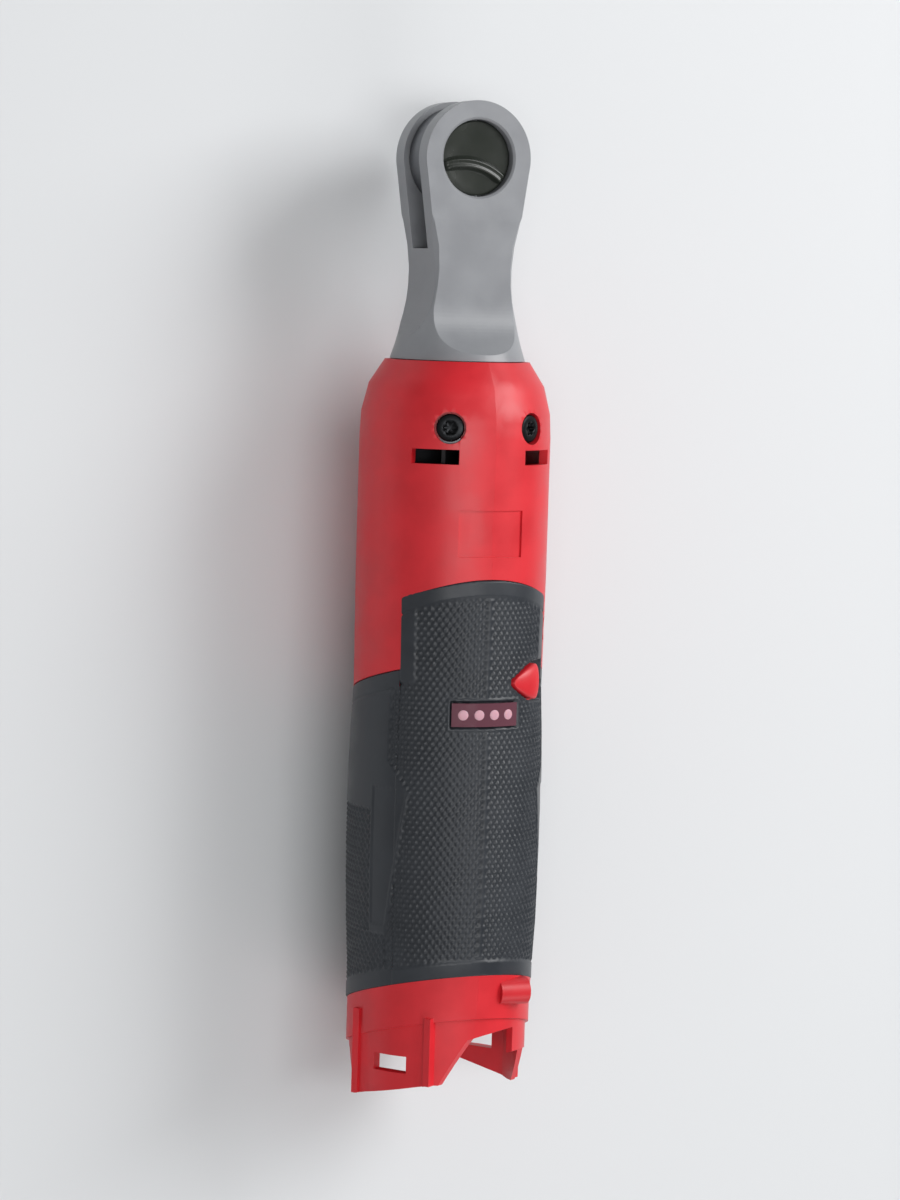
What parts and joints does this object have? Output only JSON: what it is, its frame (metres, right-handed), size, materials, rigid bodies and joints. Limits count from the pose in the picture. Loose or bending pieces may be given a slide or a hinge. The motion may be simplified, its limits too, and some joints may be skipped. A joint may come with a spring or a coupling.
{
  "type": "cordless ratchet wrench",
  "caption": "Slim cordless ratchet wrench, bare tool: grey clevis head with direction dial and drive square, red clamshell handle with black rubber grip, paddle, gauge and open battery bay.",
  "frame": {"origin": "on the drive axis, in the shoulder plane that a socket seats on", "axes": "-Z out along the drive square, +Y from the handle to the head, +Z towards the direction dial"},
  "size_m": [0.0498, 0.2519, 0.058],
  "materials": {
    "red_shell": "moulded, satin",
    "grip_rubber": "matt, diamond pattern",
    "head_paint": "satin grey",
    "dial_plastic": "semi-gloss",
    "black_screw": "black oxide",
    "steel": "ground",
    "dark_steel": "heat treated",
    "bronze": "sintered",
    "cast_aluminium": "die cast",
    "copper": "enamelled wire",
    "black_plastic": "moulded",
    "circuit_board": "solder mask",
    "gauge_window": "tinted, clear",
    "gauge_lamp": "frosted",
    "white_plastic": "moulded",
    "light_window": "clear",
    "wire_insulation": "silicone"
  },
  "bodies": {
    "tool": {"head_housing": "head_paint", "anvil_ring": "dark_steel", "crank_needle_bearing": "steel", "crank_ball_bearing": "steel", "ring_gear": "dark_steel", "gearcase": "cast_aluminium", "nose_screws": "black_screw", "housing_left": "red_shell", "housing_right": "red_shell", "shell_screws": "black_screw", "grip_left": "grip_rubber", "grip_right": "grip_rubber", "motor_stator": "dark_steel", "motor_windings": "copper", "front_bearing": "steel", "rear_bearing": "steel", "bearing_plate": "black_plastic", "hall_board": "circuit_board", "motor_leads": "wire_insulation", "control_board": "circuit_board", "board_tray": "black_plastic", "trigger_switch": "black_plastic", "paddle_pin": "steel", "paddle_spring": "steel", "lock_spindle": "steel", "gauge_lens": "gauge_window", "gauge_leds": "gauge_lamp", "gauge_board": "circuit_board", "work_light_lens": "light_window", "work_light_led": "gauge_lamp", "bay_floor": "black_plastic", "terminal_block": "black_plastic", "terminals": "copper", "power_leads": "wire_insulation"},
    "anvil": {"drive_anvil": "steel", "pawl_pin": "steel", "ball_spring": "steel", "thrust_washer": "bronze"},
    "dial": {"selector_dial": "dial_plastic", "selector_plunger": "steel", "selector_spring": "steel"},
    "pawl": {"drive_pawl": "dark_steel"},
    "ball": {"socket_ball": "steel"},
    "yoke": {"ratchet_yoke": "dark_steel"},
    "crank": {"crankshaft": "dark_steel", "drive_bushing": "bronze", "planet_pins": "steel"},
    "planet_1": {"planet_gear_1": "dark_steel"},
    "planet_2": {"planet_gear_2": "dark_steel"},
    "planet_3": {"planet_gear_3": "dark_steel"},
    "rotor": {"motor_shaft": "steel", "motor_rotor": "dark_steel", "sun_gear": "dark_steel", "cooling_fan": "black_plastic"},
    "paddle_lever": {"paddle": "black_plastic"},
    "plunger": {"switch_plunger": "white_plastic"},
    "lock": {"lock_button": "red_shell"}
  },
  "joints": [
    {"name": "anvil_spin", "type": "hinge", "parent": "tool", "child": "anvil", "pos_m": [0, 0, 0.0104], "axis": [0, 0, 1], "continuous": true},
    {"name": "dial_turn", "type": "hinge", "parent": "anvil", "child": "dial", "pos_m": [0, 0, 0.0104], "axis": [0, 0, 1], "range_deg": [0, 60]},
    {"name": "pawl_tilt", "type": "hinge", "parent": "anvil", "child": "pawl", "pos_m": [0, 0.0066, 0.0104], "axis": [0, 0, 1], "range_deg": [0, 4]},
    {"name": "ball_press", "type": "slide", "parent": "anvil", "child": "ball", "axis": [1, 0, 0], "range_m": [0, 0.0005], "stiffness_N_per_m": 2000, "springref_m": -0.0005, "deforming": ["ball_spring"]},
    {"name": "yoke_rock", "type": "hinge", "parent": "tool", "child": "yoke", "pos_m": [0, 0, 0.0104], "axis": [0, 0, 1], "range_deg": [-3, 3]},
    {"name": "crank_spin", "type": "hinge", "parent": "tool", "child": "crank", "pos_m": [0, -0.04, 0.0104], "axis": [0, 1, 0], "continuous": true},
    {"name": "rotor_spin", "type": "hinge", "parent": "tool", "child": "rotor", "pos_m": [0, -0.09, 0.0104], "axis": [0, 1, 0], "continuous": true},
    {"name": "planet_1_spin", "type": "hinge", "parent": "crank", "child": "planet_1", "pos_m": [0.0105, -0.0613, 0.0104], "axis": [0, 1, 0], "continuous": true},
    {"name": "planet_2_spin", "type": "hinge", "parent": "crank", "child": "planet_2", "pos_m": [-0.00525, -0.0613, 0.01949], "axis": [0, 1, 0], "continuous": true},
    {"name": "planet_3_spin", "type": "hinge", "parent": "crank", "child": "planet_3", "pos_m": [-0.00525, -0.0613, 0.00131], "axis": [0, 1, 0], "continuous": true},
    {"name": "paddle_squeeze", "type": "hinge", "parent": "tool", "child": "paddle_lever", "pos_m": [0, -0.116, -0.0106], "axis": [-1, 0, 0], "range_deg": [0, 3], "stiffness_Nm_per_rad": 8, "springref_deg": -6.88, "deforming": ["paddle_spring"]},
    {"name": "plunger_press", "type": "slide", "parent": "tool", "child": "plunger", "axis": [0, 0, 1], "range_m": [0, 0.00095]},
    {"name": "lock_push", "type": "slide", "parent": "tool", "child": "lock", "axis": [0.848, 0, -0.5299], "range_m": [0, 0.0025]}
  ],
  "couplings": [
    {"joint": "pawl_tilt", "follows": "dial_turn", "ratio": 0.066667},
    {"joint": "rotor_spin", "follows": "crank_spin", "ratio": 5},
    {"joint": "planet_1_spin", "follows": "crank_spin", "ratio": -2.6667},
    {"joint": "planet_2_spin", "follows": "crank_spin", "ratio": -2.6667},
    {"joint": "planet_3_spin", "follows": "crank_spin", "ratio": -2.6667},
    {"joint": "plunger_press", "follows": "paddle_squeeze", "m_per_rad": 0.018}
  ]
}
